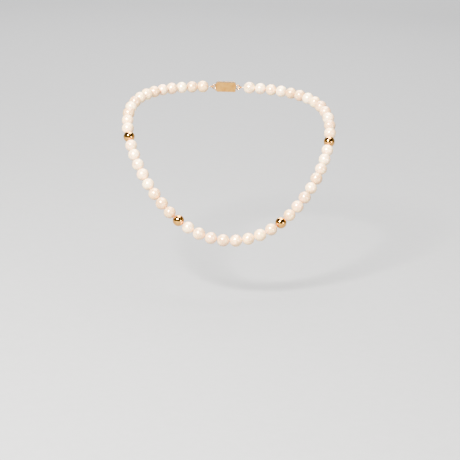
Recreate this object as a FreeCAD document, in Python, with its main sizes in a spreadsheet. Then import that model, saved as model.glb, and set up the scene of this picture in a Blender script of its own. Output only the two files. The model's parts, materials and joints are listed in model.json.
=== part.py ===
import FreeCAD, Part
import Sketcher
import math
import os

# A single-strand pearl necklace with gold spacer beads, in its worn shape, fastened at the nape.
# Frame: millimetres. The origin is on the middle of the clasp's flat side, the one that lies
# on the neck. +Z is up, the front of the necklace is towards -Y, and the side named left is -X.

SIZES = {
    # beads
    "pearl_diameter": 7.0,
    "pearl_variation": 0.1,
    "pearl_drill": 0.9,
    "gold_diameter": 6.6,
    "gold_wall": 0.3,
    "gold_drill": 1.0,
    # silk
    "silk_diameter": 0.4,
    "knot_diameter": 0.84,
    "knot_gap": 0.2,
    # the drape round the neck
    "drape_half_width": 60.3,
    "drape_half_depth": 57.6,
    "drape_rise": 69.0,
    "drape_rise_power": 2.6,
    "drape_front_power": 2.1,
    "drape_back_power": 1.9,
    # clasp box and cover
    "box_length": 12.0,
    "box_height": 6.0,
    "box_depth": 3.4,
    "box_wall": 0.5,
    "box_corner": 0.8,
    "cover_thickness": 0.4,
    "cover_edge": 0.25,
    "medallion_length": 7.0,
    "medallion_height": 3.6,
    "medallion_rise": 0.35,
    # the mouth, and the lip that the spring leaf catches behind
    "mouth_height": 4.4,
    "lip_level": 2.883,
    "notch_height": 1.5,
    # tongue
    "tongue_low": 0.6,
    "tongue_thickness": 0.4,
    "tongue_height": 4.0,
    "fold_place": 4.5,
    "fold_offset": 0.5,
    "fold_level": 1.15,
    "fold_radius": 0.35,
    "fold_overlap": 0.3,
    "stop_clearance": 0.1,
    "stop_thickness": 0.5,
    "stop_height": 5.2,
    "stop_lip": 0.2,
    # spring leaf, measured from the line that it flexes about
    "leaf_length": 8.6,
    "leaf_thickness": 0.3,
    "leaf_height": 3.6,
    "leaf_level": 1.3,
    "leaf_slope": 9.2,
    "neck_length": 11.6,
    "neck_height": 1.2,
    "tab_thickness": 0.4,
    "tab_rise": 1.1,
    # end rings, and the gimp loops that protect the silk on them
    "ring_radius": 1.3,
    "ring_wire": 0.3,
    "ring_level": 0.8,
    "gimp_reach": 2.6,
    "gimp_turn": 0.95,
    "gimp_radius": 0.45,
    "gimp_bore": 0.3,
    "gimp_trim": 1.4,
}

# Beads of one half, from the front centre to the clasp: (name, how many).
RUNS = (("front_pearl", 4), ("lower", 1), ("side_pearl", 8), ("upper", 1), ("nape_pearl", 13))
PAIRED = 2  # pearls next to the clasp that share one node
SIDES = {"left": -1, "right": 1}
# Matched pearls still differ a little: shares of pearl_variation, taken in turn.
PEARL_SHARES = (0.5, -1.0, 1.0, -0.5, 0.0, -1.2, 0.8)

# How a sketch constraint numbers the points of a line or arc, and the sketch's own origin.
START, END, CENTRE, SKETCH_ORIGIN = 1, 2, 3, -1
ORIGIN = FreeCAD.Vector(0, 0, 0)
ACROSS = FreeCAD.Vector(1, 0, 0)
UP = FreeCAD.Vector(0, 0, 1)

doc = FreeCAD.newDocument("Necklace")
sheet = doc.addObject("Spreadsheet::Sheet", "Sizes")
for row, (alias, value) in enumerate(SIZES.items(), start=1):
    sheet.set(f"A{row}", alias)
    sheet.set(f"B{row}", str(value))
    sheet.setAlias(f"B{row}", alias)
doc.recompute()


def size(alias):
    return float(sheet.get(alias))


def vector(point):
    return FreeCAD.Vector(*point)


# ---------------------------------------------------------------- the drape


def drape_point(turn, scale):
    """A point of the strand's line, turn radians round from the front centre. In plan it is a
    superellipse, and it climbs from the front to the nape as a power of its depth."""
    across, along = math.sin(turn), -math.cos(turn)
    power = size("drape_front_power") if along < 0 else size("drape_back_power")
    half_depth = size("drape_half_depth") * scale
    x = size("drape_half_width") * scale * abs(across) ** (2 / power)
    y = half_depth * (1 + math.copysign(abs(along) ** (2 / power), along))
    climbed = 1 - (1 - y / (2 * half_depth)) ** size("drape_rise_power")
    return vector((x, y, size("drape_rise") * climbed))


def drape_knots(scale, lengths):
    """The knots of one half, each one chord of the given lengths further round the line."""
    turn, knots = 0.0, [drape_point(0.0, scale)]
    for length in lengths:
        low, high = turn, turn + 0.5
        for _ in range(50):
            turn = (low + high) / 2
            if drape_point(turn, scale).distanceToPoint(knots[-1]) < length:
                low = turn
            else:
                high = turn
        knots.append(drape_point(turn, scale))
    return knots


def strand_knots(lengths, end_x):
    """Knots of the +X half in the clasp's frame. The drape is eased a little larger or smaller
    until the last knot is end_x from the middle, where the end loop starts."""
    low, high = 0.9, 1.1
    for _ in range(50):
        scale = (low + high) / 2
        if drape_knots(scale, lengths)[-1].x > end_x:
            high = scale
        else:
            low = scale
    knots = drape_knots(scale, lengths)
    shift = FreeCAD.Vector(0, size("ring_level") - knots[-1].y, -knots[-1].z)
    return [knot + shift for knot in knots]


def bead_list():
    """The kinds and names of one half's beads, from the front centre to the clasp."""
    beads = []
    for run, count in RUNS:
        for number in range(1, count + 1):
            if run in ("lower", "upper"):
                beads.append(("gold", f"gold_bead_{{side}}_{run}"))
            else:
                beads.append(("pearl", f"{run}_{{side}}_{number}"))
    return beads


def diameter_formula(kind, index):
    if kind == "gold":
        return "Sizes.gold_diameter"
    share = PEARL_SHARES[index % len(PEARL_SHARES)]
    return f"Sizes.pearl_diameter + ({share}) * Sizes.pearl_variation"


def diameter(kind, index):
    if kind == "gold":
        return size("gold_diameter")
    return size("pearl_diameter") + PEARL_SHARES[index % len(PEARL_SHARES)] * size("pearl_variation")


# ---------------------------------------------------------------- shapes made of primitives


def block(name, x, y, z):
    """A box between two formulas on each axis."""
    item = doc.addObject("Part::Box", name)
    for size_name, place_name, (low, high) in zip(("Length", "Width", "Height"), "xyz", (x, y, z)):
        item.setExpression(size_name, f"({high}) - ({low})")
        item.setExpression(f"Placement.Base.{place_name}", low)
    return item


def centred(formula):
    return f"-({formula}) / 2", f"({formula}) / 2"


def rod(name, start, end, radius_formula):
    """A cylinder from one point to another."""
    item = doc.addObject("Part::Cylinder", name)
    item.Height = (end - start).Length
    item.setExpression("Radius", radius_formula)
    item.Placement = FreeCAD.Placement(start, FreeCAD.Rotation(UP, end - start))
    return item


def ball(name, radius_formula, centre=ORIGIN, axis=UP):
    item = doc.addObject("Part::Sphere", name)
    item.setExpression("Radius", radius_formula)
    item.Placement = FreeCAD.Placement(centre, FreeCAD.Rotation(UP, axis))
    return item


def cut(name, base, tool):
    item = doc.addObject("Part::Cut", name)
    item.Base, item.Tool = base, tool
    return item


def joined(name, shapes):
    item = doc.addObject("Part::MultiFuse", name)
    item.Refine = False
    item.Shapes = shapes
    return item


def bead(name, kind, index, start, end):
    """A drilled bead midway between two knots. A gold bead is a thin hollow shell."""
    item = ball(f"{name}_ball", f"({diameter_formula(kind, index)}) / 2")
    reach = FreeCAD.Vector(0, 0, size("pearl_diameter"))
    drill = rod(f"{name}_drill", -reach, reach, f"Sizes.{kind}_drill / 2")
    if kind == "gold":
        hollow = ball(f"{name}_hollow", "Sizes.gold_diameter / 2 - Sizes.gold_wall")
        drill = joined(f"{name}_inside", [drill, hollow])
    item = cut(name, item, drill)
    item.Placement = FreeCAD.Placement((start + end) / 2, FreeCAD.Rotation(UP, end - start))
    return item


# ---------------------------------------------------------------- end loops and silk


def ring_middle(sign):
    """The middle of the end ring, in the plane of the clasp."""
    return vector((sign * (size("box_length") / 2 + size("ring_radius")), size("ring_level"), 0))


def loop_centre(sign):
    """Where the loop hangs on the ring: the wire's own centre, furthest from the box."""
    return ring_middle(sign) + vector((sign * size("ring_radius"), 0, 0))


def end_ring(name, sign):
    ring = doc.addObject("Part::Torus", name)
    ring.setExpression("Radius1", "Sizes.ring_radius")
    ring.setExpression("Radius2", "Sizes.ring_wire")
    ring.Placement = FreeCAD.Placement(ring_middle(sign), FreeCAD.Rotation(ACROSS, 90))
    return ring


def end_loop(name, sign, radius_formula, trim):
    """A turn round the ring's wire, and two straight legs that run tangent to it towards the
    first knot and stop short of it by trim."""
    lean = math.acos(size("gimp_turn") / size("gimp_reach"))
    start = math.degrees(lean) if sign > 0 else 180 + math.degrees(lean)
    centre, knot = loop_centre(sign), loop_centre(sign) + vector((sign * size("gimp_reach"), 0, 0))
    turn = doc.addObject("Part::Torus", f"{name}_turn")
    turn.setExpression("Radius1", "Sizes.gimp_turn")
    turn.setExpression("Radius2", radius_formula)
    turn.Angle3 = 360 - 2 * math.degrees(lean)
    turn.Placement = FreeCAD.Placement(centre, FreeCAD.Rotation(UP, start))
    legs = []
    for place, flip in (("back", 1), ("neck", -1)):
        off = vector((sign * math.cos(lean), flip * math.sin(lean), 0)) * size("gimp_turn")
        leg = knot - (centre + off)
        leg.multiply((leg.Length - trim) / leg.Length)
        legs.append(rod(f"{name}_leg_{place}", centre + off, centre + off + leg, radius_formula))
    return [turn] + legs


def gimp(side, sign):
    """A coil of fine wire, as a plain tube bent into a loop, with the silk inside it."""
    name = f"gimp_{side}"
    outside = end_loop(f"{name}_outside", sign, "Sizes.gimp_radius", size("gimp_trim"))
    bore = end_loop(f"{name}_bore", sign, "Sizes.gimp_bore", 0.0)
    return cut(name, joined(f"{name}_tube", outside), joined(f"{name}_inside", bore))


def silk_thread(halves):
    """One silk thread: round one end ring, through every bead with a knot between each two,
    and round the other end ring."""
    made = []
    for side, knots in halves.items():
        pieces = []
        for number, (start, end) in enumerate(zip(knots, knots[1:]), start=1):
            pieces.append(rod(f"silk_{side}_{number}", start, end, "Sizes.silk_diameter / 2"))
        for number, knot in enumerate(knots):
            # the poles of each knot lie on the thread, so that its seam stays clear of it
            along = ACROSS
            if number:
                along = knots[min(number + 1, len(knots) - 1)] - knots[number - 1]
            pieces.append(ball(f"knot_{side}_{number}", "Sizes.knot_diameter / 2", knot, along))
        made.append(joined(f"strand_{side}", pieces))
        loop = end_loop(f"silk_{side}", SIDES[side], "Sizes.silk_diameter / 2", 0.0)
        made.append(joined(f"end_{side}", loop))
    return joined("silk_thread", made)


# ---------------------------------------------------------------- clasp


def clasp_box():
    """A shallow box, open at the back for the cover and at the -X end for the tongue, with the
    ring of the right half on its other end. The lip over the mouth catches the spring leaf."""
    half, wall = "Sizes.box_length / 2", "Sizes.box_wall"
    outside = block(
        "box_outside",
        centred("Sizes.box_length"),
        ("0", "Sizes.box_depth"),
        centred("Sizes.box_height"),
    )
    doc.recompute()
    rounded = doc.addObject("Part::Fillet", "box_rounded")
    rounded.Base = outside
    corner = size("box_corner")
    upright = [
        (number, corner, corner)
        for number, edge in enumerate(outside.Shape.Edges, start=1)
        if abs(edge.tangentAt(edge.FirstParameter).y) > 0.9
    ]
    rounded.Edges = upright
    inside = block(
        "box_inside",
        centred(f"Sizes.box_length - 2 * {wall}"),
        (wall, "Sizes.box_depth + 1"),
        centred(f"Sizes.box_height - 2 * {wall}"),
    )
    through_wall = (f"-{half} - 1", f"-{half} + {wall} + 0.1")
    mouth = block(
        "box_mouth", through_wall, (wall, "Sizes.lip_level"), centred("Sizes.mouth_height")
    )
    notch = block(
        "box_notch", through_wall, (wall, "Sizes.box_depth + 1"), centred("Sizes.notch_height")
    )
    shell = cut("box_shell", rounded, joined("box_hollows", [inside, mouth, notch]))
    return joined("clasp_box", [shell, end_ring("box_ring", 1)])


def origin_plane(body, role):
    return next(f for f in body.Origin.OriginFeatures if f.Role == role)


def clasp_cover():
    """The lid of the box: a plate with softened edges and a raised oval."""
    body = doc.addObject("PartDesign::Body", "clasp_cover")
    outline = body.newObject("Sketcher::SketchObject", "cover_outline")
    outline.AttachmentSupport = [(origin_plane(body, "XZ_Plane"), "")]
    outline.MapMode = "FlatFace"
    outline.setExpression("AttachmentOffset.Base.z", "-Sizes.box_depth")
    rounded_rectangle(outline, "Sizes.box_length", "Sizes.box_height", "Sizes.box_corner")
    plate = body.newObject("PartDesign::Pad", "cover_plate")
    plate.Profile = outline
    plate.Reversed = True
    plate.setExpression("Length", "Sizes.cover_thickness")
    doc.recompute()
    top = max(range(len(plate.Shape.Faces)), key=lambda n: plate.Shape.Faces[n].CenterOfMass.y)
    softened = body.newObject("PartDesign::Fillet", "cover_softened")
    softened.Base = (plate, [f"Face{top + 1}"])
    softened.setExpression("Radius", "Sizes.cover_edge")
    oval = body.newObject("Sketcher::SketchObject", "medallion_outline")
    oval.AttachmentSupport = [(origin_plane(body, "XZ_Plane"), "")]
    oval.MapMode = "FlatFace"
    oval.setExpression("AttachmentOffset.Base.z", "-Sizes.box_depth")
    ellipse = Part.Ellipse(ORIGIN, size("medallion_length") / 2, size("medallion_height") / 2)
    oval.addGeometry(ellipse, False)
    medallion = body.newObject("PartDesign::Pad", "medallion")
    medallion.Profile = oval
    medallion.Reversed = True
    medallion.setExpression("Length", "Sizes.cover_thickness + Sizes.medallion_rise")
    body.Tip = medallion
    return body


def rounded_rectangle(sketch, length, height, corner):
    """Four sides and four corner arcs about the sketch's origin, bound to three formulas."""
    x, y, r = size("box_length") / 2, size("box_height") / 2, size("box_corner")
    ends = (((-x + r, -y), (x - r, -y)), ((x, -y + r), (x, y - r)))
    ends += (((x - r, y), (-x + r, y)), ((-x, y - r), (-x, -y + r)))
    for start, end in ends:
        sketch.addGeometry(Part.LineSegment(vector((*start, 0)), vector((*end, 0))), False)
    corners = ((x - r, -y + r), (x - r, y - r), (-x + r, y - r), (-x + r, -y + r))
    for number, middle in enumerate(corners):
        first = math.radians(90 * number - 90)
        circle = Part.Circle(vector((*middle, 0)), UP, r)
        sketch.addGeometry(Part.ArcOfCircle(circle, first, first + math.pi / 2), False)
    for number in range(4):
        sketch.addConstraint(Sketcher.Constraint("Tangent", number, END, 4 + number, START))
        sketch.addConstraint(Sketcher.Constraint("Tangent", 4 + number, END, (number + 1) % 4, START))
    for number in (0, 2):
        sketch.addConstraint(Sketcher.Constraint("Horizontal", number))
        sketch.addConstraint(Sketcher.Constraint("Vertical", number + 1))
    for number in (5, 6, 7):
        sketch.addConstraint(Sketcher.Constraint("Equal", 4, number))
    sketch.addConstraint(Sketcher.Constraint("Symmetric", 4, CENTRE, 6, CENTRE, SKETCH_ORIGIN, START))
    bound = (
        (Sketcher.Constraint("DistanceX", 0, START, 0, END, 2 * (x - r)), f"{length} - 2 * {corner}"),
        (Sketcher.Constraint("DistanceY", 1, START, 1, END, 2 * (y - r)), f"{height} - 2 * {corner}"),
        (Sketcher.Constraint("Radius", 4, r), corner),
    )
    for constraint, formula in bound:
        number = sketch.addConstraint(constraint)
        sketch.setExpression(f"Constraints[{number}]", formula)


def clasp_tongue():
    """The plate that slides in the box, with its stop bar, the fold that the spring leaf springs
    from, and the ring of the left half."""
    half, low = "Sizes.box_length / 2", "Sizes.tongue_low"
    outer = f"-{half} - Sizes.stop_clearance"
    bar = (f"{outer} - Sizes.stop_thickness", outer)
    level = (low, f"{low} + Sizes.tongue_thickness")
    length = (bar[0], "Sizes.fold_place + Sizes.fold_overlap")
    plate = block("tongue_plate", length, level, centred("Sizes.tongue_height"))
    stop = block(
        "tongue_stop",
        bar,
        (f"{low} - Sizes.stop_lip", f"{low} + Sizes.tongue_thickness + Sizes.stop_lip"),
        centred("Sizes.stop_height"),
    )
    along = vector((size("fold_place") + size("fold_offset"), size("fold_level"), 0))
    half_height = vector((0, 0, size("tongue_height") / 2))
    fold = rod("tongue_fold", along - half_height, along + half_height, "Sizes.fold_radius")
    return joined("clasp_tongue", [plate, stop, fold, end_ring("tongue_ring", -1)])


def clasp_spring_leaf():
    """The leaf that snaps behind the lip, its neck that reaches out through the notch, and the
    tab on it that a thumb presses."""
    thick = ("0", "Sizes.leaf_thickness")
    leaf = block("leaf_plate", ("-Sizes.leaf_length", "0"), thick, centred("Sizes.leaf_height"))
    neck = block("leaf_neck", ("-Sizes.neck_length", "-1"), thick, centred("Sizes.neck_height"))
    tab = block(
        "leaf_tab",
        ("-Sizes.neck_length", "-Sizes.neck_length + Sizes.tab_thickness"),
        ("0", "Sizes.tab_rise"),
        centred("Sizes.neck_height"),
    )
    item = joined("clasp_spring_leaf", [leaf, neck, tab])
    hinge = vector((size("fold_place"), size("leaf_level"), 0))
    item.Placement = FreeCAD.Placement(hinge, FreeCAD.Rotation(UP, -size("leaf_slope")))
    return item


# ---------------------------------------------------------------- the necklace


def half_strand(side, knots, beads):
    """The beads of one half, each in its own node, and the last ones together in one."""
    made = []
    single = len(beads) - PAIRED
    for index, (kind, pattern) in enumerate(beads):
        name = pattern.format(side=side)
        made.append(bead(name, kind, index, knots[index], knots[index + 1]))
    pair = doc.addObject("Part::Compound", f"nape_pearl_{side}_pair")
    pair.Links = made[single:]
    return made[:single] + [pair]


def mirrored(point, sign):
    return vector((sign * point.x, point.y, point.z))


def build():
    beads = bead_list()
    lengths = [diameter(kind, i) + size("knot_gap") for i, (kind, _) in enumerate(beads)]
    end_x = abs(loop_centre(1).x) + size("gimp_reach")
    knots = strand_knots(lengths, end_x)
    halves = {side: [mirrored(knot, sign) for knot in knots] for side, sign in SIDES.items()}
    parts = [clasp_box(), clasp_cover(), clasp_tongue(), clasp_spring_leaf()]
    for side, sign in SIDES.items():
        parts += half_strand(side, halves[side], beads)
        parts.append(gimp(side, sign))
    parts.append(silk_thread(halves))
    for item in parts:
        item.Label = item.Name
    doc.recompute()
    return parts


def check(parts):
    for item in doc.Objects:
        if {"Invalid", "Error"} & set(item.State):
            raise RuntimeError(f"{item.Name} did not compute: {item.State}")
    for item in parts:
        if item.Shape.isNull() or not item.Shape.isValid():
            raise RuntimeError(f"{item.Label} has no valid shape")


def export(parts):
    os.makedirs("parts", exist_ok=True)
    for item in parts:
        item.Shape.exportStep(os.path.join("parts", f"{item.Label}.step"))


pieces = build()
check(pieces)
export(pieces)
print(len(pieces), "sub-parts written")
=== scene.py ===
"""A single-strand pearl necklace with gold spacer beads, knotted on silk and closed by a box clasp.

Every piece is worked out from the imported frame: the beads from their knots, the loops from the
clasp's rings. Lengths are metres, unless a name ends in _mm.
"""

import json
import math

import bmesh
import bpy
import numpy as np
from bpy.props import FloatProperty, FloatVectorProperty, PointerProperty
from mathutils import Matrix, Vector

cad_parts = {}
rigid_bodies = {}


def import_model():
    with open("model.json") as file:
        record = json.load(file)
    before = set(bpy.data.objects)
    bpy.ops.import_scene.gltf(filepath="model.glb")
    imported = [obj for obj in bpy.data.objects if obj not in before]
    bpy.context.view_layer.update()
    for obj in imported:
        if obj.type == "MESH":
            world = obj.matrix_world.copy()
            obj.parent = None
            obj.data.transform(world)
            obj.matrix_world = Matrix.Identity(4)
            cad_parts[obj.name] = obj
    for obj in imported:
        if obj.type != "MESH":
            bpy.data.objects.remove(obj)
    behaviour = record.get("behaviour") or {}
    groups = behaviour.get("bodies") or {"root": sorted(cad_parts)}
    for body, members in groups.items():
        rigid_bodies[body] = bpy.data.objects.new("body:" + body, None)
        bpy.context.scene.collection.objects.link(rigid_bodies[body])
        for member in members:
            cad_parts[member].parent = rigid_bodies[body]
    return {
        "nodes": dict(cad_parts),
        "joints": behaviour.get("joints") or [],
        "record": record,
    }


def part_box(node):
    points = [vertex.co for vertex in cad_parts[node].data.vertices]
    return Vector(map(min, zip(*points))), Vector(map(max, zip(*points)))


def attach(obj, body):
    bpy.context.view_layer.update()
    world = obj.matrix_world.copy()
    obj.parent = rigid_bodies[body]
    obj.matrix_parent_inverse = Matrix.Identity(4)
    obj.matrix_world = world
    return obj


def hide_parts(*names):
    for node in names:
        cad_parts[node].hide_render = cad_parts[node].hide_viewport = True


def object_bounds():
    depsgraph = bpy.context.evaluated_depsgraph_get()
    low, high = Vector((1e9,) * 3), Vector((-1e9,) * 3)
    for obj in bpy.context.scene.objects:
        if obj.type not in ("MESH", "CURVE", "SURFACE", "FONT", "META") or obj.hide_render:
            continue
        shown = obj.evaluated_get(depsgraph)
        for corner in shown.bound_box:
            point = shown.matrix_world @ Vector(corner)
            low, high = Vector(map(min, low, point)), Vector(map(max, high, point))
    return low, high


bl_info = {
    "name": "Pearl Necklace",
    "version": (1, 0, 0),
    "blender": (4, 5, 0),
    "location": "3D View > Sidebar > Necklace",
    "description": "Strings a pearl necklace on its frame and sets it on a pale studio floor",
    "category": "Add Mesh",
}

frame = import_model()
CAD_BOX = [list(corner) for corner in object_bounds()]

MM = 0.001
POLE_MERGE = 1e-7  # points nearer than this are one
SIDES = {"left": -1.0, "right": 1.0}
PIVOTS = {j["child"]: np.array(j["pos_m"]) for j in frame["joints"] if j["type"] == "hinge"}
FOLLOWING = {j["parent"]: j["child"] for j in frame["joints"] if j["name"].endswith("_knot")}
MOUNTS = {m["name"]: np.array(m["pos_m"]) for m in frame["record"]["mounts"]}
FRONT_KNOT = MOUNTS["pendant_place"]

# How finely each shape is divided.
BEAD_COLUMNS = 84
BEAD_ARC_STEPS = 54
BORE_STEPS = 8
PEARL_LIP_STEPS, GOLD_LIP_STEPS = 6, 8
THREAD_STEPS, THREAD_COLUMNS = 72, 15
LOOP_STEPS, GIMP_STEPS, GIMP_COLUMNS = 240, 600, 6
KNOT_STEPS, KNOT_COLUMNS = 96, 8
COVER_COLUMNS = 288
PAPER_COLUMNS = 128

PLIES = 3
PLY_DEPTH = 0.12  # share of the thread's radius by which a ply stands proud
GIMP_PITCH = 2.15  # from one turn of the wire to the next, in radii of the wire
FIRST_PEARL_SEED = 1000


# ---------------------------------------------------------------- reading the frame


def unit(vector):
    return vector / np.linalg.norm(vector)


def across(axis):
    """Two unit vectors at right angles to axis and to each other."""
    helper = np.array([0.0, 0.0, 1.0]) if abs(axis[2]) < 0.9 else np.array([0.0, 1.0, 0.0])
    first = unit(np.cross(helper, axis))
    return first, np.cross(axis, first)


def node_points(node):
    mesh = frame["nodes"][node].data
    points = np.empty(len(mesh.vertices) * 3, np.float32)
    mesh.vertices.foreach_get("co", points)
    return points.reshape(-1, 3).astype(float)


class Bead:
    """One bead between two knots: start is the knot on the clasp's side, end the one in front."""

    def __init__(self, name, node, body, points, start, end):
        self.name, self.node, self.body, self.start, self.end = name, node, body, start, end
        self.centre = (start + end) / 2
        self.axis = unit(end - start)
        offsets = points - self.centre
        self.radius = np.linalg.norm(offsets, axis=1).max()
        self.bore = np.linalg.norm(np.cross(offsets, self.axis), axis=1).min()
        self.gold = node.startswith("gold")


def paired_beads(side, next_knot):
    """The two pearls of the clasp's end, told apart by the plane half way between them."""
    node, body = f"nape_pearl_{side}_pair", f"{side}_end"
    points = node_points(node)
    middle = points.mean(axis=0)
    nearer = (points - middle) @ (next_knot - middle) > 0
    beads, knot = [], next_knot
    for name, chosen in ((f"{node}_inner", nearer), (f"{node}_outer", ~nearer)):
        part = points[chosen]
        centre = (part.min(axis=0) + part.max(axis=0)) / 2
        far_knot = 2 * centre - knot
        beads.insert(0, Bead(name, node, body, part, far_knot, knot))
        knot = far_knot
    return beads


def strand(side):
    """The beads of one half, from the clasp to the front centre."""
    body = FOLLOWING[f"{side}_end"]
    beads = paired_beads(side, PIVOTS[body])
    while body:
        after = FOLLOWING.get(body)
        end = PIVOTS[after] if after else FRONT_KNOT
        beads.append(Bead(body, body, body, node_points(body), PIVOTS[body], end))
        body = after
    return beads


STRANDS = {side: strand(side) for side in SIDES}


# ---------------------------------------------------------------- meshes from arrays


def grid_faces(rows, columns, closed_rows):
    """Four-cornered faces of a grid whose columns close on themselves, and whose rows do too if
    closed_rows: each face joins a point to the next in its row and to the two in the next row."""
    row = np.arange(rows if closed_rows else rows - 1)[:, None]
    column = np.arange(columns)[None, :]
    following, beside = (row + 1) % rows, (column + 1) % columns
    corners = [row * columns + column, row * columns + beside]
    corners += [following * columns + beside, following * columns + column]
    return np.stack(np.broadcast_arrays(*corners), axis=-1).reshape(-1, 4)


def outward(points, faces):
    """The faces, turned over if the solid that they close has a negative volume: the volume is a
    sixth of the sum of the triple products of each face's corners."""
    a, b, c, d = (points[faces[:, k]] for k in range(4))
    volume = (np.cross(a, b) * c).sum() + (np.cross(a, c) * d).sum()
    return faces if volume > 0 else faces[:, ::-1]


def wrap_uv(grid):
    """Across, the share of the way round; down, the distance along the grid in millimetres."""
    columns = grid.shape[1]
    step = np.linalg.norm(np.diff(grid, axis=0), axis=2).mean(axis=1)
    along = np.concatenate([[0], np.cumsum(step)]) / MM
    around = np.arange(columns) / columns
    return np.stack(np.broadcast_arrays(around[None, :], along[:, None]), axis=-1).reshape(-1, 2)


def make_piece(name, shells, material, attributes=None):
    """One mesh object from closed grids, each an array of rows by columns by three. The points
    that meet at a pole become one."""
    points, faces, uvs, first = [], [], [], 0
    for grid, closed_rows in shells:
        flat = grid.reshape(-1, 3)
        quads = outward(flat, grid_faces(*grid.shape[:2], closed_rows))
        points.append(flat)
        uvs.append(wrap_uv(grid)[quads])
        faces.append(quads + first)
        first += len(flat)
    mesh = bpy.data.meshes.new(name)
    mesh.from_pydata(np.concatenate(points), [], np.concatenate(faces))
    layer = mesh.uv_layers.new(name="wrap")
    layer.uv.foreach_set("vector", np.concatenate(uvs).astype(np.float32).ravel())
    merged = bmesh.new()
    merged.from_mesh(mesh)
    bmesh.ops.remove_doubles(merged, verts=merged.verts, dist=POLE_MERGE)
    merged.to_mesh(mesh)
    merged.free()
    for key, value in (attributes or {}).items():
        attribute = mesh.attributes.new(key, "FLOAT", "POINT")
        attribute.data.foreach_set("value", np.full(len(mesh.vertices), value, np.float32))
    mesh.shade_smooth()
    mesh.materials.append(material)
    piece = bpy.data.objects.new(name, mesh)
    bpy.context.scene.collection.objects.link(piece)
    return piece


def place(piece, body, slot, *nodes):
    """The piece rides on body and stands for the CAD nodes, which it hides. The slot is not used."""
    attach(piece, body)
    if nodes:
        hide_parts(*nodes)
    return piece


# ---------------------------------------------------------------- beads


def bead_profile(radius, bore, lip, lip_steps):
    """Half of a drilled ball's section, as distances from the axis and along it: down the ball's
    arc, round a lip that is tangent to the ball and to the drill hole, and back up the hole."""
    level = math.sqrt((radius - lip) ** 2 - (bore + lip) ** 2)
    meeting = math.atan2(bore + lip, level)
    turn = np.linspace(-math.pi / 2, meeting, lip_steps, endpoint=False)
    top = np.stack([bore + lip + lip * np.sin(turn), level + lip * np.cos(turn)], axis=1)
    polar = np.linspace(meeting, math.pi - meeting, BEAD_ARC_STEPS)
    arc = radius * np.stack([np.sin(polar), np.cos(polar)], axis=1)
    bottom = top[::-1] * [1, -1]
    rise = np.linspace(-level, level, BORE_STEPS + 2)[1:-1]
    hole = np.stack([np.full(BORE_STEPS, bore), rise], axis=1)
    return np.concatenate([top, arc, bottom, hole])


def turned(profile, axis, columns):
    """A profile carried round an axis: out along two crossing directions by the cosine and sine
    of the turn, and along the axis by its height. The middle is the origin."""
    first, second = across(axis)
    turn = np.linspace(0, 2 * math.pi, columns, endpoint=False)
    ring = np.cos(turn)[:, None] * first + np.sin(turn)[:, None] * second
    return profile[:, :1, None] * ring[None] + profile[:, 1:, None] * axis


def irregular(points, bead, amount, rng):
    """A near-round ball: each point's distance from the middle grows or shrinks by a few slow
    sine waves along random directions, fading out where the bead is drilled."""
    distance = np.linalg.norm(points, axis=2, keepdims=True)
    direction = points / np.maximum(distance, 1e-9)
    swell = np.zeros(points.shape[:2])
    for waves, share in ((1.9, 0.50), (2.3, 0.35), (3.4, 0.22), (5.2, 0.10), (8.5, 0.05)):
        heading = unit(rng.normal(size=3))
        swell += share * np.sin(waves * (direction @ heading) + rng.uniform(0, 2 * math.pi))
    from_axis = np.linalg.norm(np.cross(points, bead.axis), axis=2) / bead.radius
    fade = np.clip((from_axis - 0.16) / 0.35, 0, 1)
    fade = fade * fade * (3 - 2 * fade)
    return points * (1 + amount * fade * (swell - 0.4))[:, :, None]


def pearl_mesh(bead, number, sizes):
    rng = np.random.default_rng(FIRST_PEARL_SEED + number)
    lip = sizes.drill_lip
    profile = bead_profile(bead.radius, bead.bore, lip, PEARL_LIP_STEPS)
    points = irregular(turned(profile, bead.axis, BEAD_COLUMNS), bead, sizes.irregularity, rng)
    marks = {"pearl_tone": rng.uniform(-1, 1), "pearl_warmth": rng.uniform(-1, 1)}
    return points + bead.centre, marks


def gold_mesh(bead, sizes):
    profile = bead_profile(bead.radius, bead.bore, sizes.gold_lip, GOLD_LIP_STEPS)
    return turned(profile, bead.axis, BEAD_COLUMNS) + bead.centre


# ---------------------------------------------------------------- tubes along paths


def tube(path, side, radius, columns, closed, plies=0, twist=0.0, depth=0.0):
    """A ring carried along a path: at each point it stands across the path's direction, out by
    radius. With plies, the radius swells and sinks that many times round, and the swells turn by
    twist radians for each metre, as the plies of a laid thread do."""
    if closed:
        direction = np.roll(path, -1, axis=0) - np.roll(path, 1, axis=0)
    else:
        direction = np.gradient(path, axis=0)
    direction /= np.linalg.norm(direction, axis=1, keepdims=True)
    side = side - (side * direction).sum(axis=1, keepdims=True) * direction
    side /= np.linalg.norm(side, axis=1, keepdims=True)
    other = np.cross(direction, side)
    step = np.linalg.norm(np.diff(path, axis=0, prepend=path[:1]), axis=1)
    along = np.cumsum(step)[:, None]
    turn = np.linspace(0, 2 * math.pi, columns, endpoint=False)[None, :]
    swell = radius * (1 - depth + depth * np.cos(plies * turn - twist * along))
    ring = np.cos(turn)[..., None] * side[:, None] + np.sin(turn)[..., None] * other[:, None]
    grid = path[:, None] + swell[..., None] * ring
    if closed:
        return grid
    # the ends close on their middles
    ends = [np.broadcast_to(path[k], grid[0].shape)[None] for k in (0, -1)]
    return np.concatenate([ends[0], grid, ends[1]])


def laid_thread(path, side, sizes):
    """A thread of three plies along a path."""
    twist = 2 * math.pi / sizes.silk_lay
    return tube(path, side, sizes.silk_radius, THREAD_COLUMNS, False, PLIES, twist, PLY_DEPTH)


def thread_between(start, end, sizes):
    """A laid thread on a straight line."""
    path = start + np.linspace(0, 1, THREAD_STEPS)[:, None] * (end - start)
    side = np.broadcast_to(across(unit(end - start))[0], path.shape)
    return laid_thread(path, side, sizes)


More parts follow.
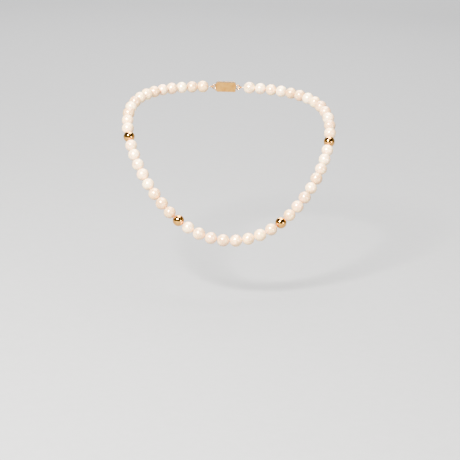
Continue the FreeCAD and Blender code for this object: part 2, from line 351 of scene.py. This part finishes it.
def knot_tube(centre, axis, sizes):
    """A small overhand knot: a curve that goes twice round the strand while it winds three times
    in and out of a ring, so that it crosses itself three times."""
    turn = np.linspace(0, 2 * math.pi, KNOT_STEPS, endpoint=False)
    ring, wind, strand_radius = sizes.knot_ring, sizes.knot_wind, sizes.knot_strand
    out = ring + wind * np.cos(3 * turn)
    first, second = across(axis)
    radial = np.cos(2 * turn)[:, None] * first + np.sin(2 * turn)[:, None] * second
    path = centre + out[:, None] * radial + (1.2 * wind * np.sin(3 * turn))[:, None] * axis
    return tube(path, radial, strand_radius, KNOT_COLUMNS, True)


# ---------------------------------------------------------------- end loops


def spread_evenly(points, count):
    """count points at even distances along a line of points."""
    step = np.linalg.norm(np.diff(points, axis=0), axis=1)
    along = np.concatenate([[0], np.cumsum(step)])
    wanted = np.linspace(0, along[-1], count)
    return np.stack([np.interp(wanted, along, points[:, k]) for k in range(3)], axis=1)


def loop_line(side, trim, count):
    """From the first knot along a straight leg to the ring, round its wire, and back along the
    other leg. The legs are tangent to the turn, and stop short of the knot by trim."""
    centre, knot = PIVOTS[f"{side}_end"], STRANDS[side][0].start
    low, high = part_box(f"gimp_{side}")
    turn_radius = (high[1] - low[1]) / 2 - (high[2] - low[2]) / 2
    reach = np.linalg.norm(knot - centre)
    towards = unit(knot - centre)
    sideways = np.cross([0.0, 0.0, 1.0], towards)
    lean = math.acos(turn_radius / reach)
    angle = np.linspace(lean, 2 * math.pi - lean, 80)
    arc = np.cos(angle)[:, None] * towards + np.sin(angle)[:, None] * sideways
    arc = centre + turn_radius * arc
    leg = math.sqrt(reach**2 - turn_radius**2)
    share = np.linspace(trim / leg, 1, 24, endpoint=False)[:, None]
    ends = [knot + share * (arc[0] - knot), (knot + share * (arc[-1] - knot))[::-1]]
    return spread_evenly(np.concatenate([ends[0], arc, ends[1]]), count)


def gimp_wire(side, sizes):
    """Fine wire wound close round the end loop: a circle round the loop's line, turned on by one
    lay of the wire for each turn."""
    line = loop_line(side, sizes.gimp_trim, GIMP_STEPS)
    direction = np.gradient(line, axis=0)
    direction /= np.linalg.norm(direction, axis=1, keepdims=True)
    up = np.broadcast_to([0.0, 0.0, 1.0], line.shape)
    flat = np.cross(direction, up)
    length = np.linalg.norm(np.diff(line, axis=0), axis=1).sum()
    turns = round(length / (GIMP_PITCH * sizes.gimp_wire))
    phase = np.linspace(0, 2 * math.pi * turns, len(line))[:, None]
    out = np.cos(phase) * up + np.sin(phase) * flat
    low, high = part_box(f"gimp_{side}")
    wound = (high[2] - low[2]) / 2 - sizes.gimp_wire
    return tube(line + wound * out, out, sizes.gimp_wire, GIMP_COLUMNS, False)


def loop_thread(side, sizes):
    """A laid thread along the whole end loop."""
    line = loop_line(side, 0.0, LOOP_STEPS)
    up = np.broadcast_to([0.0, 0.0, 1.0], line.shape)
    return laid_thread(line, up, sizes)


# ---------------------------------------------------------------- clasp cover


def rounded_outline(half_length, half_height, corner, count):
    """Points at even distances round a rectangle with rounded corners, from its +X side on."""
    turn = np.linspace(0, math.pi / 2, 12)
    middle = (half_length - corner, half_height - corner)
    quarter = np.stack([middle[0] + corner * np.cos(turn), middle[1] + corner * np.sin(turn)], 1)
    half = np.concatenate([quarter, quarter[::-1] * [-1, 1]])
    whole = np.concatenate([half, -half])
    closed = np.concatenate([whole, whole[:1]])
    step = np.linalg.norm(np.diff(closed, axis=0), axis=1)
    along = np.concatenate([[0], np.cumsum(step)])
    wanted = np.linspace(0, along[-1], count, endpoint=False)
    return np.stack([np.interp(wanted, along, closed[:, k]) for k in range(2)], axis=1)


def cover_grid(low, high, sizes):
    """The clasp's cover. Rings shrink from its outline to its middle, from a rounded rectangle to
    an oval. Its height is a raised rim with a row of small grains, a flat field, and a domed
    oval with flutes that run out from the middle."""
    count = COVER_COLUMNS
    half_length, half_height = (high[0] - low[0]) / 2, (high[2] - low[2]) / 2
    plate = low[1] + sizes.cover_plate
    outline = rounded_outline(half_length, half_height, 0.13 * (high[2] - low[2]), count)
    angle = np.arctan2(outline[:, 1] / half_height, outline[:, 0] / half_length)
    oval = np.stack([np.cos(angle), np.sin(angle)], 1) * [0.58 * half_length, 0.60 * half_height]
    edge_turn = np.linspace(0, math.pi / 2, 7)
    softness = 0.16 * MM
    rings = [(outline, np.full(count, low[1]))]
    for turn in edge_turn:
        inset = 1 - softness * (1 - math.cos(turn)) / half_height
        rings.append((outline * inset, np.full(count, plate - softness + softness * math.sin(turn))))
    run = np.arange(count) / count
    for share in np.linspace(0.06, 0.34, 15):
        bump = np.sin(math.pi * (share - 0.06) / 0.28) ** 2
        grain = 0.09 * MM * bump * np.abs(np.sin(36 * math.pi * run)) ** 0.7
        rings.append((outline * (1 - share) + oval * share, plate + grain))
    for share in (0.5, 0.75, 0.97):
        rings.append((outline * (1 - share) + oval * share, np.full(count, plate)))
    rise = high[1] - plate
    for share in np.linspace(0, 1, 26, endpoint=False):
        dome = math.sqrt(1 - (1 - share) ** 2) * 0.94 + 0.06 * share
        flute = 0.10 * MM * math.sin(math.pi * share) * np.abs(np.cos(12 * angle))
        rings.append((oval * (1 - share), plate + rise * dome - flute))
    rings.append((oval * 0, np.full(count, high[1])))
    middle = ((low[0] + high[0]) / 2, (low[2] + high[2]) / 2)
    base = [(outline * 0, np.full(count, low[1]))]
    stacked = [
        np.stack([middle[0] + flat[:, 0], level, middle[1] + flat[:, 1]], axis=1)
        for flat, level in base + rings
    ]
    return np.array(stacked)


# ---------------------------------------------------------------- materials


class Nodes:
    """Adds nodes to a material and links them, with their fixed inputs given by name."""

    def __init__(self, name):
        self.material = bpy.data.materials.new(name)
        self.material.use_nodes = True
        self.tree = self.material.node_tree
        self.shader = self.tree.nodes["Principled BSDF"]
        self.place = self.add("ShaderNodeTexCoord").outputs["Object"]

    def add(self, kind, settings=None, **inputs):
        node = self.tree.nodes.new(kind)
        for key, value in (settings or {}).items():
            setattr(node, key, value)
        for key, value in inputs.items():
            self.put(node, key.replace("_", " "), value)
        return node

    def put(self, node, socket, value):
        if isinstance(value, bpy.types.NodeSocket):
            self.tree.links.new(value, node.inputs[socket])
        else:
            node.inputs[socket].default_value = value

    def noise(self, scale, detail=2.0, roughness=0.5, distortion=0.0, vector=None):
        node = self.add(
            "ShaderNodeTexNoise",
            Scale=scale,
            Detail=detail,
            Roughness=roughness,
            Distortion=distortion,
            Vector=vector or self.place,
        )
        return node.outputs["Fac"]

    def spread(self, value, low, high, to_low=0.0, to_high=1.0):
        node = self.add("ShaderNodeMapRange", Value=value)
        self.put(node, "From Min", low)
        self.put(node, "From Max", high)
        self.put(node, "To Min", to_low)
        self.put(node, "To Max", to_high)
        return node.outputs["Result"]

    def mix(self, factor, first, second):
        node = self.add("ShaderNodeMix", {"data_type": "RGBA"})
        self.put(node, 0, factor)
        self.put(node, 6, first)
        self.put(node, 7, second)
        return node.outputs[2]

    def attribute(self, name):
        return self.add("ShaderNodeAttribute", {"attribute_name": name}).outputs["Fac"]

    def bump(self, height, distance, strength=1.0):
        node = self.add("ShaderNodeBump", Height=height, Distance=distance, Strength=strength)
        self.put(self.shader, "Normal", node.outputs["Normal"])

    def finish(self, **values):
        for key, value in values.items():
            self.put(self.shader, key.replace("_", " "), value)
        return self.material


def colour(values):
    return (*values, 1.0)


def nacre(look):
    """Layered pearl: cream with a rosy cast that drifts over each pearl in soft clouds, a little
    light let in, and a clear satin skin."""
    nodes = Nodes("nacre")
    clouds = nodes.noise(430, 2, 0.6, 0.9)
    base = nodes.mix(nodes.spread(clouds, 0.42, 0.60), colour(look.pearl), colour(look.rose))
    warm = nodes.spread(nodes.attribute("pearl_warmth"), -1, 1, 0.0, 0.75)
    base = nodes.mix(warm, base, colour(look.champagne))
    tone = nodes.attribute("pearl_tone")
    base = nodes.mix(nodes.spread(tone, 0, 1, 0.0, 0.6), base, colour(look.bright))
    base = nodes.mix(nodes.spread(tone, 0, -1, 0.0, 0.5), base, colour(look.shade))
    drift = nodes.noise(210, 1, 0.5, 0.5)
    base = nodes.mix(nodes.spread(drift, 0.50, 0.68, 0.0, 0.55), base, colour(look.shade))
    speckle = nodes.noise(1250, 3, 0.65, 0.6)
    base = nodes.mix(nodes.spread(speckle, 0.50, 0.66, 0.0, 0.38), base, colour(look.shade))
    glow = nodes.noise(900, 2, 0.5, 0.4)
    base = nodes.mix(nodes.spread(glow, 0.54, 0.70, 0.0, 0.5), base, colour(look.bright))
    roughness = nodes.spread(nodes.noise(760, 3, 0.6), 0.38, 0.62, 0.22, 0.38)
    nodes.bump(nodes.noise(820, 3, 0.55), 0.00004, 0.5)
    nodes.shader.inputs["Subsurface Radius"].default_value = (1.0, 0.55, 0.24)
    return nodes.finish(
        Base_Color=base,
        Roughness=roughness,
        IOR=1.6,
        Metallic=0.26,
        Subsurface_Weight=0.35,
        Subsurface_Scale=0.0011,
        Coat_Weight=0.45,
        Coat_Roughness=0.19,
        Coat_IOR=1.5,
        Coat_Tint=(1.0, 0.94, 0.86, 1.0),
    )


def polished_gold(look):
    """Polished yellow gold, with fine rubbing marks that dull it a little here and there."""
    nodes = Nodes("polished_gold")
    stretched = nodes.add("ShaderNodeMapping", Vector=nodes.place, Scale=(1.0, 0.22, 1.0))
    marks = nodes.noise(5200, 3, 0.6, 0.4, stretched.outputs["Vector"])
    patches = nodes.noise(380, 2, 0.5)
    base = nodes.mix(nodes.spread(patches, 0.3, 0.7), colour(look.gold), colour(look.gold_deep))
    wear = nodes.spread(marks, 0.45, 0.75, 0.07, 0.17)
    nodes.bump(marks, 0.0000035, 0.5)
    return nodes.finish(Base_Color=base, Roughness=wear, Metallic=1.0)


def gilt_wire(look):
    """Drawn gilt wire, brighter on its crowns than between its turns."""
    nodes = Nodes("gilt_wire")
    patches = nodes.noise(2600, 2, 0.5)
    base = nodes.mix(nodes.spread(patches, 0.3, 0.7), colour(look.gold), colour(look.gold_deep))
    nodes.bump(nodes.noise(9000, 1, 0.5), 0.000002, 0.4)
    roughness = nodes.spread(patches, 0.3, 0.7, 0.16, 0.30)
    return nodes.finish(Base_Color=base, Roughness=roughness, Metallic=1.0)


def laid_silk(look):
    """Cream silk: fibres that run along each ply, a soft sheen and a few darker strands."""
    nodes = Nodes("laid_silk")
    wrap = nodes.add("ShaderNodeUVMap", {"uv_map": "wrap"}).outputs["UV"]
    fibre = nodes.add("ShaderNodeMapping", Vector=wrap, Scale=(60.0, 2.0, 1.0))
    strands = nodes.noise(1.0, 3, 0.6, 0.2, fibre.outputs["Vector"])
    base = nodes.mix(nodes.spread(strands, 0.3, 0.7), colour(look.silk), colour(look.silk_shade))
    nodes.bump(strands, 0.00002, 0.6)
    return nodes.finish(
        Base_Color=base,
        Roughness=0.5,
        Sheen_Weight=0.4,
        Sheen_Roughness=0.35,
        Sheen_Tint=(1.0, 0.96, 0.88, 1.0),
    )


def studio_paper():
    """Matt pale paper with a very faint tooth."""
    nodes = Nodes("studio_paper")
    tooth = nodes.noise(240, 4, 0.6)
    base = nodes.mix(nodes.spread(tooth, 0.3, 0.7), (0.158, 0.166, 0.178, 1), (0.168, 0.177, 0.189, 1))
    nodes.bump(tooth, 0.0002, 0.15)
    return nodes.finish(Base_Color=base, Roughness=0.85)


# ---------------------------------------------------------------- settings


def length_property(name, description, millimetres):
    return FloatProperty(
        name=name,
        description=description,
        default=millimetres * MM,
        min=0.0,
        precision=5,
        unit="LENGTH",
        subtype="DISTANCE",
    )


def colour_property(name, description, default):
    return FloatVectorProperty(
        name=name, description=description, default=default, min=0.0, max=1.0, subtype="COLOR"
    )


class NecklaceSizes(bpy.types.PropertyGroup):
    """Sizes of the fine detail that the frame doesn't give."""

    drill_lip: length_property("Drill lip", "Radius of the edge of a pearl's drill hole", 0.09)
    gold_lip: length_property("Gold lip", "Radius of the rolled edge of a gold bead's hole", 0.16)
    irregularity: FloatProperty(
        name="Irregularity",
        description="How far a pearl strays from a true ball, as a share of its radius",
        default=0.008,
        min=0.0,
        max=0.02,
        subtype="FACTOR",
    )
    silk_radius: length_property("Silk radius", "Radius of the silk thread", 0.20)
    silk_lay: length_property("Silk lay", "Length in which a ply turns once round the thread", 1.5)
    knot_ring: length_property("Knot ring", "Radius of the ring that a knot is wound on", 0.20)
    knot_wind: length_property("Knot wind", "How far a knot winds in and out of its ring", 0.09)
    knot_strand: length_property("Knot strand", "Radius of the silk drawn tight in a knot", 0.11)
    gimp_wire: length_property("Gimp wire", "Radius of the wire wound over the end loops", 0.07)
    gimp_trim: length_property("Gimp trim", "Bare silk between a gimp and the first knot", 1.4)
    cover_plate: length_property("Cover plate", "Thickness of the clasp's cover", 0.40)


class NecklaceLook(bpy.types.PropertyGroup):
    """Colours of the finishes."""

    pearl: colour_property("Pearl", "Cream body colour of the pearls", (0.90, 0.67, 0.37))
    rose: colour_property("Rose", "Rosy overtone of the pearls", (0.88, 0.52, 0.31))
    champagne: colour_property("Champagne", "Warm cast of some pearls", (0.88, 0.57, 0.19))
    shade: colour_property("Shade", "Darker clouds in the nacre", (0.42, 0.23, 0.11))
    bright: colour_property("Bright", "The lightest pearls", (1.00, 0.85, 0.58))
    gold: colour_property("Gold", "Polished gold", (0.74, 0.38, 0.075))
    gold_deep: colour_property("Deep gold", "Darker patches of the gold", (0.55, 0.25, 0.04))
    silk: colour_property("Silk", "Silk thread", (0.80, 0.70, 0.54))
    silk_shade: colour_property("Silk shade", "Between the fibres of the silk", (0.55, 0.45, 0.32))


class NecklaceStage(bpy.types.PropertyGroup):
    """The floor, the lights and the camera."""

    floor_gap: length_property("Floor gap", "How far the floor is below the pearls", 34.0)
    azimuth: FloatProperty(
        name="Azimuth",
        description="How far the camera stands to the left of the front",
        default=math.radians(2.8),
        subtype="ANGLE",
    )
    elevation: FloatProperty(
        name="Elevation",
        description="How far the camera looks down",
        default=math.radians(14.8),
        subtype="ANGLE",
    )
    roll: FloatProperty(
        name="Roll",
        description="How far the camera leans over",
        default=math.radians(2.0),
        subtype="ANGLE",
    )
    distance: length_property("Distance", "From the camera to the front pearls", 900.0)
    rise: length_property("Rise", "How far above the front knot the camera aims", 6.26)
    focal_length: FloatProperty(
        name="Focal length",
        description="Focal length of the camera's lens",
        default=124.0,
        subtype="DISTANCE_CAMERA",
    )
    key_power: FloatProperty(
        name="Key", description="Power of the key light", default=120.0, unit="POWER"
    )


# ---------------------------------------------------------------- operators


class NECKLACE_OT_string_pearls(bpy.types.Operator):
    """Make the pearls, each a near-round drilled ball with its own tone"""

    bl_idname = "necklace.string_pearls"
    bl_label = "String Pearls"

    def execute(self, context):
        sizes, finish = context.scene.necklace_sizes, nacre(context.scene.necklace_look)
        number = 0
        for beads in STRANDS.values():
            for bead in beads:
                number += 1
                if bead.gold:
                    continue
                grid, marks = pearl_mesh(bead, number, sizes)
                piece = make_piece(f"nacre_{bead.name}", [(grid, True)], finish, marks)
                place(piece, bead.body, "pearl", bead.node)
        return {"FINISHED"}


class NECKLACE_OT_thread_gold_beads(bpy.types.Operator):
    """Make the polished gold beads that part the runs of pearls"""

    bl_idname = "necklace.thread_gold_beads"
    bl_label = "Thread Gold Beads"

    def execute(self, context):
        sizes, finish = context.scene.necklace_sizes, polished_gold(context.scene.necklace_look)
        for beads in STRANDS.values():
            for bead in (b for b in beads if b.gold):
                shell = [(gold_mesh(bead, sizes), True)]
                piece = make_piece(f"polished_{bead.name}", shell, finish)
                place(piece, bead.body, "gold", bead.node)
        return {"FINISHED"}


class NECKLACE_OT_knot_silk(bpy.types.Operator):
    """Lay the silk through each bead, and tie a knot at its end nearer the clasp"""

    bl_idname = "necklace.knot_silk"
    bl_label = "Knot Silk"

    def execute(self, context):
        sizes, finish = context.scene.necklace_sizes, laid_silk(context.scene.necklace_look)
        for side, beads in STRANDS.items():
            for bead in beads:
                shells = [(thread_between(bead.start, bead.end, sizes), False)]
                shells.append((knot_tube(bead.start, bead.axis, sizes), True))
                piece = make_piece(f"silk_{bead.name}", shells, finish)
                place(piece, bead.body, "silk", "silk_thread")
            shells = [(loop_thread(side, sizes), False)]
            place(make_piece(f"silk_end_loop_{side}", shells, finish), f"{side}_end", "silk")
        last = STRANDS["right"][-1]
        shells = [(knot_tube(last.end, last.axis, sizes), True)]
        place(make_piece("silk_front_knot", shells, finish), last.body, "silk")
        return {"FINISHED"}


class NECKLACE_OT_wind_gimp(bpy.types.Operator):
    """Wind fine gilt wire over the two end loops of the silk"""

    bl_idname = "necklace.wind_gimp"
    bl_label = "Wind Gimp"

    def execute(self, context):
        sizes, finish = context.scene.necklace_sizes, gilt_wire(context.scene.necklace_look)
        for side in SIDES:
            piece = make_piece(f"wound_gimp_{side}", [(gimp_wire(side, sizes), False)], finish)
            place(piece, f"{side}_end", "gimp_wire", f"gimp_{side}")
        return {"FINISHED"}


class NECKLACE_OT_finish_clasp(bpy.types.Operator):
    """Polish the clasp, and give it a cover with a grained rim and a fluted oval"""

    bl_idname = "necklace.finish_clasp"
    bl_label = "Finish Clasp"

    def execute(self, context):
        sizes, finish = context.scene.necklace_sizes, polished_gold(context.scene.necklace_look)
        for node in ("clasp_box", "clasp_tongue", "clasp_spring_leaf"):
            mesh = frame["nodes"][node].data
            mesh.materials.clear()
            mesh.materials.append(finish)
        low, high = (np.array(corner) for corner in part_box("clasp_cover"))
        shells = [(cover_grid(low, high, sizes), False)]
        place(make_piece("fluted_cover", shells, finish), "clasp", "gold", "clasp_cover")
        return {"FINISHED"}


class NECKLACE_OT_set_stage(bpy.types.Operator):
    """Set the floor, the lights and the camera"""

    bl_idname = "necklace.set_stage"
    bl_label = "Set Stage"

    def execute(self, context):
        stage = context.scene.necklace_stage
        lay_floor(stage)
        hang_lights(stage)
        stand_camera(stage)
        return {"FINISHED"}


class NECKLACE_PT_panel(bpy.types.Panel):
    """The necklace's settings and pieces"""

    bl_label = "Pearl Necklace"
    bl_idname = "NECKLACE_PT_panel"
    bl_space_type = "VIEW_3D"
    bl_region_type = "UI"
    bl_category = "Necklace"

    def draw(self, context):
        for group in (context.scene.necklace_sizes, context.scene.necklace_look):
            for key in group.__annotations__:
                self.layout.prop(group, key)
        for key in NecklaceStage.__annotations__:
            self.layout.prop(context.scene.necklace_stage, key)
        for operator in OPERATORS:
            self.layout.operator(operator.bl_idname)


# ---------------------------------------------------------------- stage


def lay_floor(stage):
    """A round sheet of paper under the necklace: flat, then turned up all round in a quarter
    circle, then straight up for a short way."""
    level = CAD_BOX[0][2] - stage.floor_gap
    flat, bend, wall = 1.3, 0.6, 0.9
    turn = np.linspace(0, math.pi / 2, 24)
    curve = np.stack([flat + bend * np.sin(turn), level + bend * (1 - np.cos(turn))], axis=1)
    middle, top = [[0.0, level]], [[flat + bend, level + bend + wall]]
    profile = np.concatenate([middle, curve, top])
    points = turned(profile, np.array([0.0, 0.0, 1.0]), PAPER_COLUMNS)
    mesh = bpy.data.meshes.new("paper_sweep")
    faces = grid_faces(len(profile), PAPER_COLUMNS, False)
    mesh.from_pydata(points.reshape(-1, 3), [], faces)
    mesh.shade_smooth()
    mesh.materials.append(studio_paper())
    paper = bpy.data.objects.new("paper_sweep", mesh)
    bpy.context.scene.collection.objects.link(paper)


def looking(place_at, target, roll=0.0):
    """A turn and place whose -Z looks from place_at to target, leant over by roll."""
    forward = unit(np.array(target) - place_at)
    right = unit(np.cross(forward, [0.0, 0.0, 1.0]))
    up = np.cross(right, forward)
    leant = math.cos(roll) * right + math.sin(roll) * up
    up = math.cos(roll) * up - math.sin(roll) * right
    columns = np.column_stack([leant, up, -forward, place_at])
    return Matrix(np.vstack([columns, [0, 0, 0, 1]]).tolist())


def hang_lights(stage):
    """A large key from the upper left, a soft top light, a low fill from the right, and a wide
    light over the paper behind. Each row: name, place and target from the middle of the
    necklace, width, share of the key's power, tint."""
    middle = (np.array(CAD_BOX[0]) + np.array(CAD_BOX[1])) / 2
    lights = (
        ("key_light", (-0.40, -0.66, 0.62), (0, 0, 0), 0.28, 1.00, (1.0, 0.94, 0.85)),
        ("top_light", (0.10, 0.10, 0.95), (0, 0, 0), 0.70, 0.22, (1.0, 0.96, 0.91)),
        ("fill_light", (0.80, -0.80, 0.10), (0, 0, 0), 0.36, 0.08, (1.0, 0.92, 0.85)),
        ("paper_light", (0.0, 1.10, 0.90), (0, 1.2, -0.10), 1.30, 0.55, (1.0, 0.96, 0.92)),
    )
    for name, offset, target, width, share, tint in lights:
        data = bpy.data.lights.new(name, "AREA")
        data.shape, data.size, data.color = "DISK", width, tint
        data.energy = share * stage.key_power
        light = bpy.data.objects.new(name, data)
        light.matrix_world = looking(middle + np.array(offset), middle + np.array(target))
        bpy.context.scene.collection.objects.link(light)
    world = bpy.data.worlds.new("studio_dusk")
    world.use_nodes = True
    background = world.node_tree.nodes["Background"]
    background.inputs["Color"].default_value = (0.80, 0.78, 0.76, 1.0)
    background.inputs["Strength"].default_value = 0.06
    bpy.context.scene.world = world


def stand_camera(stage):
    """The camera looks past the front knot, a little down and a little from the left."""
    a, e = stage.azimuth, stage.elevation
    forward = np.array([math.sin(a) * math.cos(e), math.cos(a) * math.cos(e), -math.sin(e)])
    right = np.array([math.cos(a), -math.sin(a), 0.0])
    aim = FRONT_KNOT + stage.rise * np.cross(right, forward)
    data = bpy.data.cameras.new("camera")
    data.lens, data.sensor_width = stage.focal_length, 36.0
    camera = bpy.data.objects.new("camera", data)
    camera.matrix_world = looking(aim - stage.distance * forward, aim, stage.roll)
    bpy.context.scene.collection.objects.link(camera)
    bpy.context.scene.camera = camera


# ---------------------------------------------------------------- registration


GROUPS = {
    "necklace_sizes": NecklaceSizes,
    "necklace_look": NecklaceLook,
    "necklace_stage": NecklaceStage,
}
OPERATORS = (
    NECKLACE_OT_set_stage,
    NECKLACE_OT_string_pearls,
    NECKLACE_OT_thread_gold_beads,
    NECKLACE_OT_knot_silk,
    NECKLACE_OT_wind_gimp,
    NECKLACE_OT_finish_clasp,
)


def register():
    for item in (*GROUPS.values(), *OPERATORS, NECKLACE_PT_panel):
        bpy.utils.register_class(item)
    for name, group in GROUPS.items():
        setattr(bpy.types.Scene, name, PointerProperty(type=group))


def unregister():
    for name in GROUPS:
        delattr(bpy.types.Scene, name)
    for item in reversed((*GROUPS.values(), *OPERATORS, NECKLACE_PT_panel)):
        bpy.utils.unregister_class(item)


def main():
    register()
    bpy.ops.necklace.set_stage()
    bpy.ops.necklace.string_pearls()
    bpy.ops.necklace.thread_gold_beads()
    bpy.ops.necklace.knot_silk()
    bpy.ops.necklace.wind_gimp()
    bpy.ops.necklace.finish_clasp()


if __name__ == "__main__":
    main()
